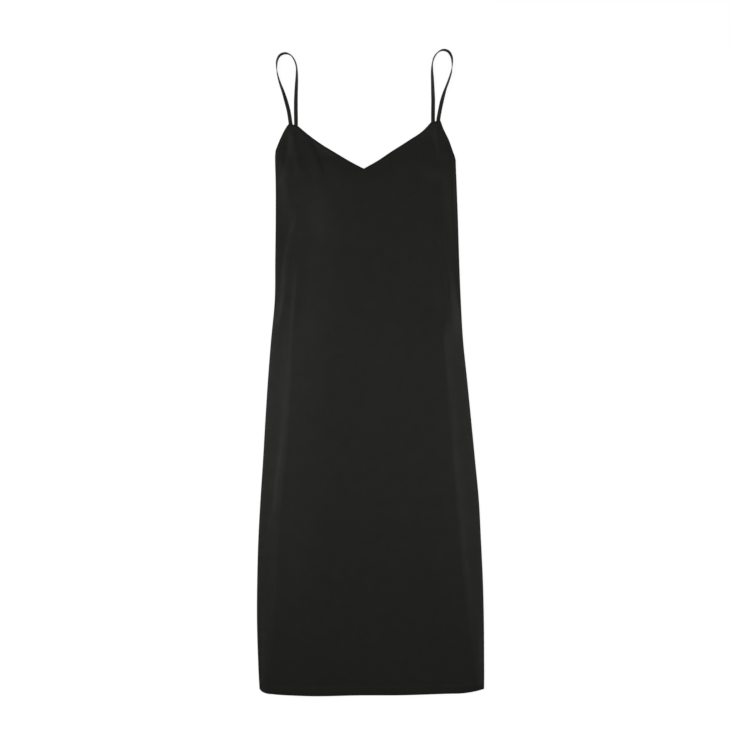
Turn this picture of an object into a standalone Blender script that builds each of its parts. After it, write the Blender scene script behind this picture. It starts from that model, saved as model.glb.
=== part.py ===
"""Slip dress laid flat, front up: a front and a back panel sewn along the sides, and two shoulder straps.

+X runs across the dress from its left edge, as it lies, to its right edge, +Y from the hem to the straps, and
+Z up. The origin is under the middle of the dress, on the surface that it lies on. Every size below is in
millimetres, and MM turns it into Blender's metres.
"""

import math
from collections import namedtuple

import bpy
import numpy as np

MM = 0.001
DRESS = "slip_dress"

# The cloth's wall, and the gap that the panels keep at a seam.
WALL = 1.2
SEAM_GAP = 0.3

# The folded side edges: how thick they are, how far in they puff the front up, and the upright lip of each rim.
EDGE_THICKNESS = 3.6
EDGE_PUFF_REACH = 30
LIP = 0.2

# The outer bands of a panel keep their width from hem to armhole, and the cloth between them widens.
BAND = 54
BACK_HEM_SHORTER = 2

# Where the front comes down from the back panel to the surface, measured up from the back's top edge.
STEP_START = 3
STEP_END = 45

# The shoulder straps, and the soft ridge that a strap under the front raises.
STRAP_WIDTH = 7.6
STRAP_THICKNESS = 1.5
STRAP_STATION = 6
RIDGE_HEIGHT = 1.8
RIDGE_CORE = 5
RIDGE_REACH = 36

# The panels' cells: how wide they are in the bands and between them, the angles at which a rolled edge has its
# columns, and each stretch of rows as (share of the panel's length that it reaches, cells).
FRONT_BAND_CELL = 6
FRONT_CELL = 16
BACK_BAND_CELL = 26
BACK_CELL = 32
ROLL_ANGLES = (30, 60, 90)
FRONT_ROWS = ((0.02, 2), (0.88, 32), (1.0, 12))
BACK_ROWS = ((0.02, 1), (1.0, 24))

# The silhouette's two sides, from the hem up to the armholes.
Side = namedtuple("Side", "up left right")
SIDES = [
    Side(-616, -216.6, 221.3),
    Side(-600, -217.6, 221.6),
    Side(-560, -219.4, 221.5),
    Side(-480, -221.6, 220.9),
    Side(-405, -221.1, 219.0),
    Side(-327, -219.0, 215.3),
    Side(-249, -214.9, 211.2),
    Side(-171, -209.8, 203.8),
    Side(-93, -205.3, 196.2),
    Side(-15, -200.3, 188.4),
    Side(63, -194.2, 180.4),
    Side(141, -187.0, 175.9),
    Side(219, -186.0, 172.8),
    Side(297, -185.1, 170.4),
    Side(375, -185.3, 167.5),
    Side(413.7, -186.3, 166.1),
    Side(421.5, -186.4, 166.1),
]
LEFT_PIT = -186.4
RIGHT_PIT = 166.1
HEM_LEVEL = -616

# The hem and the top edges, from left to right. Each stretch of the front's top edge is smooth, and the
# stretches meet in the corners at the peaks and at the foot of the V.
Edge = namedtuple("Edge", "x up")
HEM = [
    Edge(-216.6, -616.0),
    Edge(-213.3, -619.8),
    Edge(-205.9, -623.7),
    Edge(-189.3, -626.4),
    Edge(-150.3, -628.9),
    Edge(-119.1, -630.0),
    Edge(-25.5, -628.8),
    Edge(60.3, -628.4),
    Edge(153.9, -625.4),
    Edge(177.3, -624.6),
    Edge(192.9, -622.5),
    Edge(208.5, -619.2),
    Edge(221.3, -615.8),
]
FRONT_TOP = {
    "left armhole": [
        Edge(-186.4, 421.5),
        Edge(-185.6, 429.3),
        Edge(-183.5, 437.1),
        Edge(-180.6, 444.9),
        Edge(-173.9, 460.5),
        Edge(-165.6, 476.1),
        Edge(-158.9, 485.5),
    ],
    "left peak": [Edge(-158.9, 485.5), Edge(-141.2, 480.0)],
    "left neckline": [
        Edge(-141.2, 480.0),
        Edge(-121.1, 463.4),
        Edge(-97.7, 446.3),
        Edge(-66.5, 427.0),
        Edge(-35.3, 408.6),
        Edge(-13.8, 397.3),
    ],
    "right neckline": [
        Edge(-13.8, 397.3),
        Edge(11.5, 411.5),
        Edge(42.7, 432.2),
        Edge(73.9, 452.1),
        Edge(105.1, 474.1),
        Edge(118.8, 488.9),
    ],
    "right peak": [Edge(118.8, 488.9), Edge(136.3, 490.7)],
    "right armhole": [
        Edge(136.3, 490.7),
        Edge(141.6, 476.1),
        Edge(149.2, 460.5),
        Edge(152.9, 452.7),
        Edge(158.5, 437.1),
        Edge(161.1, 429.3),
        Edge(164.0, 421.5),
        Edge(166.1, 413.7),
    ],
}
BACK_TOP = [
    Edge(-186.4, 421.5),
    Edge(-147.0, 419.0),
    Edge(-110.0, 405.0),
    Edge(-60.0, 386.0),
    Edge(-12.0, 377.0),
    Edge(40.0, 386.0),
    Edge(88.0, 404.0),
    Edge(124.0, 415.0),
    Edge(166.1, 413.7),
]

# The long soft folds of the front. Each crest runs at an inset from its side edge. Towards the edge the cloth
# falls at an even slope that starts at FOLD_SHOULDER of the way, and towards the middle it falls off softly.
Crest = namedtuple("Crest", "up inset height")
Fold = namedtuple("Fold", "side reach_out reach_in crests")
FOLD_SHOULDER = 0.15
FOLDS = [
    Fold("left", 14, 45, [
        Crest(76, 7.0, 0.0),
        Crest(98, 11.0, 0.7),
        Crest(118, 16.5, 1.0),
        Crest(134, 19.0, 1.0),
        Crest(156, 22.0, 0.9),
        Crest(195, 25.5, 0.9),
        Crest(235, 31.0, 0.7),
        Crest(266, 35.0, 0.6),
        Crest(297, 40.0, 0.6),
        Crest(322, 48.0, 0.3),
        Crest(345, 58.0, 0.0),
    ]),
    Fold("left", 60, 200, [
        Crest(-625, 15.0, 1.4),
        Crest(-585, 22.0, 2.3),
        Crest(-522, 31.0, 3.2),
        Crest(-438, 37.0, 3.8),
        Crest(-295, 41.0, 4.1),
        Crest(-220, 44.0, 4.2),
        Crest(-142, 47.0, 4.2),
        Crest(-15, 46.0, 4.1),
        Crest(82, 42.0, 3.6),
        Crest(141, 41.0, 2.6),
        Crest(215, 42.0, 0.8),
        Crest(255, 45.0, 0.0),
    ]),
    Fold("left", 80, 160, [
        Crest(-615, 112.0, 0.6),
        Crest(-400, 114.0, 1.8),
        Crest(-200, 116.0, 2.7),
        Crest(0, 116.0, 3.1),
        Crest(150, 114.0, 2.8),
        Crest(240, 112.0, 1.8),
        Crest(340, 110.0, 0.0),
    ]),
    Fold("right", 16, 45, [
        Crest(68, 14.0, 0.0),
        Crest(86, 18.0, 1.0),
        Crest(100, 20.0, 2.1),
        Crest(118, 21.5, 3.2),
        Crest(141, 23.0, 3.7),
        Crest(156, 23.5, 3.7),
        Crest(172, 24.5, 3.2),
        Crest(188, 26.5, 2.2),
        Crest(203, 28.5, 1.4),
        Crest(219, 31.0, 0.9),
        Crest(265, 34.0, 0.5),
        Crest(325, 44.0, 0.0),
    ]),
    Fold("right", 60, 180, [
        Crest(-625, 14.0, 1.6),
        Crest(-560, 22.0, 2.7),
        Crest(-493, 31.0, 3.6),
        Crest(-438, 37.0, 4.1),
        Crest(-345, 43.0, 4.2),
        Crest(-249, 46.0, 4.0),
        Crest(-152, 45.0, 3.6),
        Crest(-93, 43.0, 3.7),
        Crest(-15, 42.0, 4.6),
        Crest(32, 41.0, 5.7),
        Crest(63, 39.0, 6.2),
        Crest(92, 36.0, 5.2),
        Crest(130, 33.0, 2.2),
        Crest(175, 32.0, 0.0),
    ]),
    Fold("right", 80, 160, [
        Crest(-500, 112.0, 0.0),
        Crest(-250, 114.0, 0.8),
        Crest(0, 114.0, 1.4),
        Crest(150, 112.0, 1.2),
        Crest(300, 110.0, 0.0),
    ]),
]

# Each strap's route: from its end inside the front peak, up and round the loop, and down to its end inside the
# back's top edge. turn is the ribbon's roll in degrees: 0 and 180 lie flat, and 90 stands on its edge.
Bend = namedtuple("Bend", "x up turn")
STRAPS = {
    "strap_left": [
        Bend(-145.5, 468, 0),
        Bend(-145.5, 480, 0),
        Bend(-145.5, 492, 2),
        Bend(-145.7, 510, 6),
        Bend(-145.7, 527, 14),
        Bend(-145.2, 545, 30),
        Bend(-144.4, 562, 40.5),
        Bend(-143.7, 580, 56),
        Bend(-144.1, 594, 73.5),
        Bend(-147.6, 607, 71.5),
        Bend(-156.0, 618.7, 68),
        Bend(-166.5, 622.3, 48),
        Bend(-176.2, 618.8, 46.5),
        Bend(-182.0, 609, 58),
        Bend(-183.1, 597, 71),
        Bend(-181.6, 583, 101),
        Bend(-176.8, 565, 119.5),
        Bend(-171.0, 549, 134),
        Bend(-164.2, 527, 161),
        Bend(-159.4, 508, 169),
        Bend(-156.9, 492, 176),
        Bend(-155.0, 478, 180),
        Bend(-151.0, 440, 180),
        Bend(-147.5, 408, 180),
    ],
    "strap_right": [
        Bend(121.7, 474, 0),
        Bend(121.7, 486, 0),
        Bend(121.7, 498, -2),
        Bend(121.8, 515, -4),
        Bend(121.9, 532, -7),
        Bend(121.3, 550, -26),
        Bend(120.4, 573, -45),
        Bend(119.7, 590, -61.5),
        Bend(120.5, 603, -75),
        Bend(124.6, 615.8, -71.5),
        Bend(132.4, 625.1, -75),
        Bend(142.2, 628.8, -48),
        Bend(151.4, 625.8, -40),
        Bend(157.3, 616.8, -50.5),
        Bend(159.1, 603, -75),
        Bend(157.4, 587, -102),
        Bend(151.6, 568, -119.5),
        Bend(144.9, 550, -131),
        Bend(139.1, 530, -163),
        Bend(134.9, 510, -169),
        Bend(132.6, 497, -175),
        Bend(130.9, 484, -180),
        Bend(127.5, 445, -180),
        Bend(124.5, 404, -180),
    ],
}
# How many bends at a route's two ends lie under the front.
BENDS_AT_FRONT = 3
BENDS_TO_BACK = 4

CREPE = (0.013, 0.013, 0.012, 1.0)
STRAP_BLACK = (0.010, 0.010, 0.010, 1.0)
MATT_ROUGHNESS = 0.72


def smooth(at, rows, column):
    """A column of a table at `at`, on a cubic curve through its rows, level past both ends."""
    position = np.array([row[0] for row in rows], float)
    value = np.array([getattr(row, column) for row in rows], float)
    slope = np.gradient(value, position)
    at = np.clip(at, position[0], position[-1])
    low = np.clip(np.searchsorted(position, at) - 1, 0, len(position) - 2)
    high = low + 1
    span = position[high] - position[low]
    t = (at - position[low]) / span
    rise = value[low] + (value[high] - value[low]) * t * t * (3 - 2 * t)
    return rise + span * t * (1 - t) * (slope[low] * (1 - t) - slope[high] * t)


def ease(share):
    """0 up to share 0, 1 from share 1 on, and an S curve between."""
    share = np.clip(share, 0, 1)
    return share * share * (3 - 2 * share)


def bell(share):
    """1 at 0, falling softly to 0 at a share of 1 either way."""
    return np.cos(np.clip(np.abs(share), 0, 1) * math.pi / 2) ** 2


def slope_down(share):
    """1 at 0, then down an even slope to 0 at a share of 1."""
    share = np.clip(share, 0, 1)
    return 1 - (1 + FOLD_SHOULDER) * share * share / (share + FOLD_SHOULDER)


def front_top(x):
    """How far up the front's top edge is at x, over its six stretches."""
    stretches = list(FRONT_TOP.values())
    up = smooth(x, stretches[0], "up")
    for stretch in stretches[1:]:
        up = np.where(x > stretch[0].x, smooth(x, stretch, "up"), up)
    return up


def back_top(x):
    """How far up the back's top edge is at x."""
    return smooth(x, BACK_TOP, "up")


def across(pit_x, up):
    """X at height `up` of the column that stands at pit_x between the armholes' lowest points."""
    left = smooth(up, SIDES, "left")
    right = smooth(up, SIDES, "right")
    into_left_band = np.minimum(pit_x - LEFT_PIT, BAND)
    into_right_band = np.maximum(pit_x - (RIGHT_PIT - BAND), 0)
    share = np.clip((pit_x - LEFT_PIT - BAND) / (RIGHT_PIT - LEFT_PIT - 2 * BAND), 0, 1)
    return left + into_left_band + share * (right - left - 2 * BAND) + into_right_band


def from_stretch(x, up, start, end):
    """Distance of points from the straight stretch between two bends."""
    along = np.array([end.x - start.x, end.up - start.up])
    offset = np.stack([x - start.x, up - start.up], axis=-1)
    share = np.clip(offset @ along / (along @ along), 0, 1)
    return np.linalg.norm(offset - share[..., None] * along, axis=-1)


def strap_ridge(x, up):
    """How high the strap ends under the front lift it, from 0 to 1."""
    nearest = np.full(np.shape(x), float(RIDGE_REACH))
    for route in STRAPS.values():
        for bends in (route[:BENDS_AT_FRONT], route[-BENDS_TO_BACK:]):
            for start, end in zip(bends, bends[1:]):
                nearest = np.minimum(nearest, from_stretch(x, up, start, end))
    return bell((nearest - RIDGE_CORE) / (RIDGE_REACH - RIDGE_CORE) * (nearest > RIDGE_CORE))


def back_step(x, up):
    """1 over the back panel, 0 well past its top edge, where the cloth comes down to the surface."""
    past = up - back_top(x)
    return 1 - ease((past - STEP_START) / (STEP_END - STEP_START))


def side_folds(x, up):
    """Height that the long folds and the puffed side edges add to the front."""
    inset = {"left": x - smooth(up, SIDES, "left"), "right": smooth(up, SIDES, "right") - x}
    puff = EDGE_THICKNESS - 2 * WALL - SEAM_GAP
    above_pit = up - SIDES[-1].up
    height = puff * (bell(inset["left"] / EDGE_PUFF_REACH) + bell(inset["right"] / EDGE_PUFF_REACH))
    height = height * (1 - ease(above_pit / EDGE_PUFF_REACH))
    for fold in FOLDS:
        crest = smooth(up, fold.crests, "inset")
        past = inset[fold.side] - crest
        outside = slope_down(-past / np.minimum(fold.reach_out, crest))
        form = np.where(past > 0, bell(past / fold.reach_in), outside)
        height = height + smooth(up, fold.crests, "height") * form
    return height


def front_height(x, up):
    """Outer face of the front: over the back or the surface, the strap ends and the folds."""
    under = SEAM_GAP + WALL * back_step(x, up) + RIDGE_HEIGHT * strap_ridge(x, up)
    return under + WALL + side_folds(x, up)


def columns_across(features, cell, band_cell):
    """Columns as (pit_x, rise): a rolled edge at each side, where rise goes from 0 at the rim to 1, and cells."""
    rim_height = (EDGE_THICKNESS - SEAM_GAP) / 2
    radius = rim_height - LIP
    roll = [(0, 0), (0, LIP / rim_height)]
    for angle in map(math.radians, ROLL_ANGLES):
        inset = radius * (1 - math.cos(angle))
        rise = (LIP + radius * math.sin(angle)) / rim_height
        roll.append((inset, rise))
    bands = (LEFT_PIT + BAND, RIGHT_PIT - BAND)
    stops = sorted([LEFT_PIT + radius, *features, *bands, RIGHT_PIT - radius])
    between = []
    for start, end in zip(stops, stops[1:]):
        in_band = end <= bands[0] or start >= bands[1]
        cells = math.ceil((end - start) / (band_cell if in_band else cell))
        between += list(np.linspace(start, end, cells, endpoint=False))
    columns = [(LEFT_PIT + inset, rise) for inset, rise in roll]
    columns += [(pit_x, 1) for pit_x in between[1:]]
    columns += [(RIGHT_PIT - inset, rise) for inset, rise in reversed(roll)]
    return np.array(columns).T


def row_shares(table):
    """Rows as shares of a panel's length, from a table of (share reached, cells)."""
    shares = [0.0]
    for reached, cells in table:
        shares += list(np.linspace(shares[-1], reached, cells + 1)[1:])
    return np.array(shares)


def panel_grid(pit_x, rows, hem_rise, top_edge):
    """X and place up the dress of each grid point of a panel, a row of points for each share of its length."""
    low = smooth(across(pit_x, HEM_LEVEL), HEM, "up") + hem_rise
    high = top_edge(pit_x)
    up = low + rows[:, None] * (high - low)
    return across(pit_x, up), up


def collection(name):
    """A new collection in the scene."""
    made = bpy.data.collections.new(name)
    bpy.context.scene.collection.children.link(made)
    return made


def cloth(name, color):
    """A plain matt cloth material."""
    material = bpy.data.materials.new(name)
    material.use_nodes = True
    shader = material.node_tree.nodes["Principled BSDF"]
    shader.inputs["Base Color"].default_value = color
    shader.inputs["Roughness"].default_value = MATT_ROUGHNESS
    shader.inputs["Metallic"].default_value = 0
    material.diffuse_color = color
    return material


def panel(name, points, faces_up, material, group):
    """A cloth panel: an open grid surface through its outer face, given its wall by Solidify."""
    rows, columns, _ = points.shape
    mesh = bpy.data.meshes.new(name)
    faces = []
    for row in range(rows - 1):
        for column in range(columns - 1):
            first = row * columns + column
            face = (first, first + 1, first + 1 + columns, first + columns)
            faces.append(face if faces_up else face[::-1])
    mesh.from_pydata((points * MM).reshape(-1, 3).tolist(), [], faces)
    mesh.materials.append(material)
    made = bpy.data.objects.new(name, mesh)
    group.objects.link(made)
    wall = made.modifiers.new("wall", "SOLIDIFY")
    wall.thickness = WALL * MM
    wall.offset = -1
    wall.use_even_offset = True
    mesh.shade_smooth()
    return made


def front_panel(material, group):
    """The front, from its rims at the side seams over the rolled edges and the folds."""
    corners = [stretch[0].x for stretch in FRONT_TOP.values()][1:]
    pit_x, rise = columns_across(corners, FRONT_CELL, FRONT_BAND_CELL)
    x, up = panel_grid(pit_x, row_shares(FRONT_ROWS), 0, front_top)
    rim = (EDGE_THICKNESS + SEAM_GAP) / 2
    height = rim + rise * (front_height(x, up) - rim)
    return panel("front_panel", np.stack([x, up, height], axis=-1), True, material, group)


def back_panel(material, group):
    """The back, flat on the surface, with its sides rolled up to the seams."""
    pit_x, rise = columns_across([], BACK_CELL, BACK_BAND_CELL)
    x, up = panel_grid(pit_x, row_shares(BACK_ROWS), BACK_HEM_SHORTER, back_top)
    rim = (EDGE_THICKNESS - SEAM_GAP) / 2
    height = np.broadcast_to(rim * (1 - rise), x.shape)
    return panel("back_panel", np.stack([x, up, height], axis=-1), False, material, group)


def ribbon_profile(group):
    """The ribbon's cross-section as a guide curve: flat faces, and edges that come to a blunt point."""
    half = STRAP_WIDTH / 2
    round_off = STRAP_THICKNESS / 2
    outline = [
        (half, 0),
        (half - round_off, round_off),
        (round_off - half, round_off),
        (-half, 0),
        (round_off - half, -round_off),
        (half - round_off, -round_off),
    ]
    curve = bpy.data.curves.new("ribbon_profile", "CURVE")
    spline = curve.splines.new("POLY")
    spline.points.add(len(outline) - 1)
    for point, (along, over) in zip(spline.points, reversed(outline)):
        point.co = (along * MM, over * MM, 0, 1)
    spline.use_cyclic_u = True
    guide = bpy.data.objects.new("ribbon_profile", curve)
    guide.hide_render = True
    guide.display_type = "WIRE"
    group.objects.link(guide)
    return guide


def strap_route(bends):
    """The route's stations as x, up, height and turn, evenly spaced, with the ribbon's lowest edge resting."""
    steps = [math.dist(start[:2], end[:2]) for start, end in zip(bends, bends[1:])]
    reached = np.concatenate([[0], np.cumsum(steps)])
    Station = namedtuple("Station", "along x up turn")
    rows = [Station(along, *bend) for along, bend in zip(reached, bends)]
    at = np.linspace(0, reached[-1], round(reached[-1] / STRAP_STATION) + 1)
    x = smooth(at, rows, "x")
    up = smooth(at, rows, "up")
    turn = np.radians(smooth(at, rows, "turn"))
    ground = (WALL + SEAM_GAP) * back_step(x, up)
    half_height = (STRAP_WIDTH * np.abs(np.sin(turn)) + STRAP_THICKNESS * np.abs(np.cos(turn))) / 2
    return np.stack([x, up, ground + half_height, turn], axis=-1)


def strap(name, bends, profile, material, group):
    """A shoulder strap: a flat ribbon swept along its route, turning over once on its way round."""
    curve = bpy.data.curves.new(name, "CURVE")
    curve.dimensions = "3D"
    curve.twist_mode = "Z_UP"
    curve.bevel_mode = "OBJECT"
    curve.bevel_object = profile
    curve.use_fill_caps = True
    stations = strap_route(bends)
    spline = curve.splines.new("POLY")
    spline.points.add(len(stations) - 1)
    for point, (x, up, height, turn) in zip(spline.points, stations):
        point.co = (x * MM, up * MM, height * MM, 1)
        point.tilt = turn
    curve.materials.append(material)
    made = bpy.data.objects.new(name, curve)
    group.objects.link(made)
    return made


def main():
    for old in list(bpy.data.objects):
        bpy.data.objects.remove(old)
    pieces = collection(DRESS)
    guides = collection("guides")
    front_panel(cloth("front_crepe", CREPE), pieces)
    back_panel(cloth("back_crepe", CREPE), pieces)
    profile = ribbon_profile(guides)
    for name, bends in STRAPS.items():
        strap(name, bends, profile, cloth(name + "_satin", STRAP_BLACK), pieces)


main()
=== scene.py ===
"""Looks of the slip dress laid flat: its crepe front and back, turned edges, seams, stitches and straps.

Sizes are in millimetres where no comment says otherwise, in the frame's axes, and MM turns them into metres.
+X runs across the dress from its left edge, as it lies, +Y from the hem to the straps, and +Z up from the
surface that it lies on.
"""

import math
from collections import namedtuple

import bpy
import numpy as np
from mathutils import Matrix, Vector


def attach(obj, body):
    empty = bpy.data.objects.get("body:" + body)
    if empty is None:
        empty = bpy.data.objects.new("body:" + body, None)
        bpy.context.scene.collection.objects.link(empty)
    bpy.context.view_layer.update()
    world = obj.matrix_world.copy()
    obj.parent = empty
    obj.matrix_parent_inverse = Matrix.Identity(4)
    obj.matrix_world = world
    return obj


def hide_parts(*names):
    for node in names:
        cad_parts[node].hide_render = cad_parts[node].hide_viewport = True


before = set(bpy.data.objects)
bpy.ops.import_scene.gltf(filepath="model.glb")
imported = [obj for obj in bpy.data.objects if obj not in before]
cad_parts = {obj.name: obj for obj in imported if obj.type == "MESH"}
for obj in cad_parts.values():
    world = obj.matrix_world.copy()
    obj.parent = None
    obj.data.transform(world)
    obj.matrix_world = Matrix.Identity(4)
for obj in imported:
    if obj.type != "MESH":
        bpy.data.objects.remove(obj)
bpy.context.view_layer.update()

MM = 0.001
BODY = "root"
SEED = 7

# --------------------------------------------------------------------------------------------------
# The form that the frame's solids have, repeated from their source
# --------------------------------------------------------------------------------------------------

# The solids' wall, the gap at a seam, the folded side edges and the bands that keep their width.
WALL = 1.2
SEAM_GAP = 0.3
EDGE_THICKNESS = 3.6
EDGE_PUFF_REACH = 30
LIP = 0.2
BAND = 54
BACK_HEM_SHORTER = 2

# Where the front comes down from the back panel to the surface, measured up from the back's top edge.
STEP_START = 3
STEP_END = 45

# The shoulder straps, and the soft ridge that a strap under the front raises.
STRAP_WIDTH = 7.6
STRAP_THICKNESS = 1.5
RIDGE_HEIGHT = 1.8
RIDGE_CORE = 5
RIDGE_REACH = 36

# The silhouette's two sides, from the hem up to the armholes.
Side = namedtuple("Side", "up left right")
SIDES = [
    Side(-616, -216.6, 221.3),
    Side(-600, -217.6, 221.6),
    Side(-560, -219.4, 221.5),
    Side(-480, -221.6, 220.9),
    Side(-405, -221.1, 219.0),
    Side(-327, -219.0, 215.3),
    Side(-249, -214.9, 211.2),
    Side(-171, -209.8, 203.8),
    Side(-93, -205.3, 196.2),
    Side(-15, -200.3, 188.4),
    Side(63, -194.2, 180.4),
    Side(141, -187.0, 175.9),
    Side(219, -186.0, 172.8),
    Side(297, -185.1, 170.4),
    Side(375, -185.3, 167.5),
    Side(413.7, -186.3, 166.1),
    Side(421.5, -186.4, 166.1),
]
LEFT_PIT = -186.4
RIGHT_PIT = 166.1
HEM_LEVEL = -616

# The hem and the top edges, from left to right.
Edge = namedtuple("Edge", "x up")
HEM = [
    Edge(-216.6, -616.0),
    Edge(-213.3, -619.8),
    Edge(-205.9, -623.7),
    Edge(-189.3, -626.4),
    Edge(-150.3, -628.9),
    Edge(-119.1, -630.0),
    Edge(-25.5, -628.8),
    Edge(60.3, -628.4),
    Edge(153.9, -625.4),
    Edge(177.3, -624.6),
    Edge(192.9, -622.5),
    Edge(208.5, -619.2),
    Edge(221.3, -615.8),
]
FRONT_TOP = {
    "left armhole": [
        Edge(-186.4, 421.5),
        Edge(-185.6, 429.3),
        Edge(-183.5, 437.1),
        Edge(-180.6, 444.9),
        Edge(-173.9, 460.5),
        Edge(-165.6, 476.1),
        Edge(-158.9, 485.5),
    ],
    "left peak": [Edge(-158.9, 485.5), Edge(-141.2, 480.0)],
    "left neckline": [
        Edge(-141.2, 480.0),
        Edge(-121.1, 463.4),
        Edge(-97.7, 446.3),
        Edge(-66.5, 427.0),
        Edge(-35.3, 408.6),
        Edge(-13.8, 397.3),
    ],
    "right neckline": [
        Edge(-13.8, 397.3),
        Edge(11.5, 411.5),
        Edge(42.7, 432.2),
        Edge(73.9, 452.1),
        Edge(105.1, 474.1),
        Edge(118.8, 488.9),
    ],
    "right peak": [Edge(118.8, 488.9), Edge(136.3, 490.7)],
    "right armhole": [
        Edge(136.3, 490.7),
        Edge(141.6, 476.1),
        Edge(149.2, 460.5),
        Edge(152.9, 452.7),
        Edge(158.5, 437.1),
        Edge(161.1, 429.3),
        Edge(164.0, 421.5),
        Edge(166.1, 413.7),
    ],
}
BACK_TOP = [
    Edge(-186.4, 421.5),
    Edge(-147.0, 419.0),
    Edge(-110.0, 405.0),
    Edge(-60.0, 386.0),
    Edge(-12.0, 377.0),
    Edge(40.0, 386.0),
    Edge(88.0, 404.0),
    Edge(124.0, 415.0),
    Edge(166.1, 413.7),
]

# The long soft folds of the front: a crest at an inset from its side edge, an even slope out to the edge
# that starts at FOLD_SHOULDER of the way, and a soft fall towards the middle.
Crest = namedtuple("Crest", "up inset height")
Fold = namedtuple("Fold", "side reach_out reach_in crests")
FOLD_SHOULDER = 0.15
FOLDS = [
    Fold("left", 14, 45, [
        Crest(76, 7.0, 0.0),
        Crest(98, 11.0, 0.7),
        Crest(118, 16.5, 1.0),
        Crest(134, 19.0, 1.0),
        Crest(156, 22.0, 0.9),
        Crest(195, 25.5, 0.9),
        Crest(235, 31.0, 0.7),
        Crest(266, 35.0, 0.6),
        Crest(297, 40.0, 0.6),
        Crest(322, 48.0, 0.3),
        Crest(345, 58.0, 0.0),
    ]),
    Fold("left", 60, 200, [
        Crest(-625, 15.0, 1.4),
        Crest(-585, 22.0, 2.3),
        Crest(-522, 31.0, 3.2),
        Crest(-438, 37.0, 3.8),
        Crest(-295, 41.0, 4.1),
        Crest(-220, 44.0, 4.2),
        Crest(-142, 47.0, 4.2),
        Crest(-15, 46.0, 4.1),
        Crest(82, 42.0, 3.6),
        Crest(141, 41.0, 2.6),
        Crest(215, 42.0, 0.8),
        Crest(255, 45.0, 0.0),
    ]),
    Fold("left", 80, 160, [
        Crest(-615, 112.0, 0.6),
        Crest(-400, 114.0, 1.8),
        Crest(-200, 116.0, 2.7),
        Crest(0, 116.0, 3.1),
        Crest(150, 114.0, 2.8),
        Crest(240, 112.0, 1.8),
        Crest(340, 110.0, 0.0),
    ]),
    Fold("right", 16, 45, [
        Crest(68, 14.0, 0.0),
        Crest(86, 18.0, 1.0),
        Crest(100, 20.0, 2.1),
        Crest(118, 21.5, 3.2),
        Crest(141, 23.0, 3.7),
        Crest(156, 23.5, 3.7),
        Crest(172, 24.5, 3.2),
        Crest(188, 26.5, 2.2),
        Crest(203, 28.5, 1.4),
        Crest(219, 31.0, 0.9),
        Crest(265, 34.0, 0.5),
        Crest(325, 44.0, 0.0),
    ]),
    Fold("right", 60, 180, [
        Crest(-625, 14.0, 1.6),
        Crest(-560, 22.0, 2.7),
        Crest(-493, 31.0, 3.6),
        Crest(-438, 37.0, 4.1),
        Crest(-345, 43.0, 4.2),
        Crest(-249, 46.0, 4.0),
        Crest(-152, 45.0, 3.6),
        Crest(-93, 43.0, 3.7),
        Crest(-15, 42.0, 4.6),
        Crest(32, 41.0, 5.7),
        Crest(63, 39.0, 6.2),
        Crest(92, 36.0, 5.2),
        Crest(130, 33.0, 2.2),
        Crest(175, 32.0, 0.0),
    ]),
    Fold("right", 80, 160, [
        Crest(-500, 112.0, 0.0),
        Crest(-250, 114.0, 0.8),
        Crest(0, 114.0, 1.4),
        Crest(150, 112.0, 1.2),
        Crest(300, 110.0, 0.0),
    ]),
]

# Each strap's route, from its end inside the front peak round the loop to its end inside the back's top
# edge. turn is the ribbon's roll in degrees: 0 and 180 lie flat, and 90 stands on its edge. A station is a
# bend with its distance along the route.
Bend = namedtuple("Bend", "x up turn")
Station = namedtuple("Station", "along x up turn")
STRAPS = {
    "strap_left": [
        Bend(-145.5, 468, 0),
        Bend(-145.5, 480, 0),
        Bend(-145.5, 492, 2),
        Bend(-145.7, 510, 6),
        Bend(-145.7, 527, 14),
        Bend(-145.2, 545, 30),
        Bend(-144.4, 562, 40.5),
        Bend(-143.7, 580, 56),
        Bend(-144.1, 594, 73.5),
        Bend(-147.6, 607, 71.5),
        Bend(-156.0, 618.7, 68),
        Bend(-166.5, 622.3, 48),
        Bend(-176.2, 618.8, 46.5),
        Bend(-182.0, 609, 58),
        Bend(-183.1, 597, 71),
        Bend(-181.6, 583, 101),
        Bend(-176.8, 565, 119.5),
        Bend(-171.0, 549, 134),
        Bend(-164.2, 527, 161),
        Bend(-159.4, 508, 169),
        Bend(-156.9, 492, 176),
        Bend(-155.0, 478, 180),
        Bend(-151.0, 440, 180),
        Bend(-147.5, 408, 180),
    ],
    "strap_right": [
        Bend(121.7, 474, 0),
        Bend(121.7, 486, 0),
        Bend(121.7, 498, -2),
        Bend(121.8, 515, -4),
        Bend(121.9, 532, -7),
        Bend(121.3, 550, -26),
        Bend(120.4, 573, -45),
        Bend(119.7, 590, -61.5),
        Bend(120.5, 603, -75),
        Bend(124.6, 615.8, -71.5),
        Bend(132.4, 625.1, -75),
        Bend(142.2, 628.8, -48),
        Bend(151.4, 625.8, -40),
        Bend(157.3, 616.8, -50.5),
        Bend(159.1, 603, -75),
        Bend(157.4, 587, -102),
        Bend(151.6, 568, -119.5),
        Bend(144.9, 550, -131),
        Bend(139.1, 530, -163),
        Bend(134.9, 510, -169),
        Bend(132.6, 497, -175),
        Bend(130.9, 484, -180),
        Bend(127.5, 445, -180),
        Bend(124.5, 404, -180),
    ],
}

# How many bends, at a route's start and at its end, lead from just past the front's edge to under it.
BENDS_AT_FRONT = 3
BENDS_TO_BACK = 4

# --------------------------------------------------------------------------------------------------
# What the cloth has beyond the solids
# --------------------------------------------------------------------------------------------------

# The crepe, single and turned double, and how its turned edges show: a soft raised band whose edge drops.
SINGLE = 0.65
DOUBLE = 0.95
CLEARANCE = 0.1
Turning = namedtuple("Turning", "width step lift drop drop_reach")
HEM_TURNING = Turning(width=15, step=2.5, lift=0.22, drop=0.5, drop_reach=9)
EDGE_TURNING = Turning(width=6, step=2, lift=0.16, drop=0.4, drop_reach=3.5)

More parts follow.
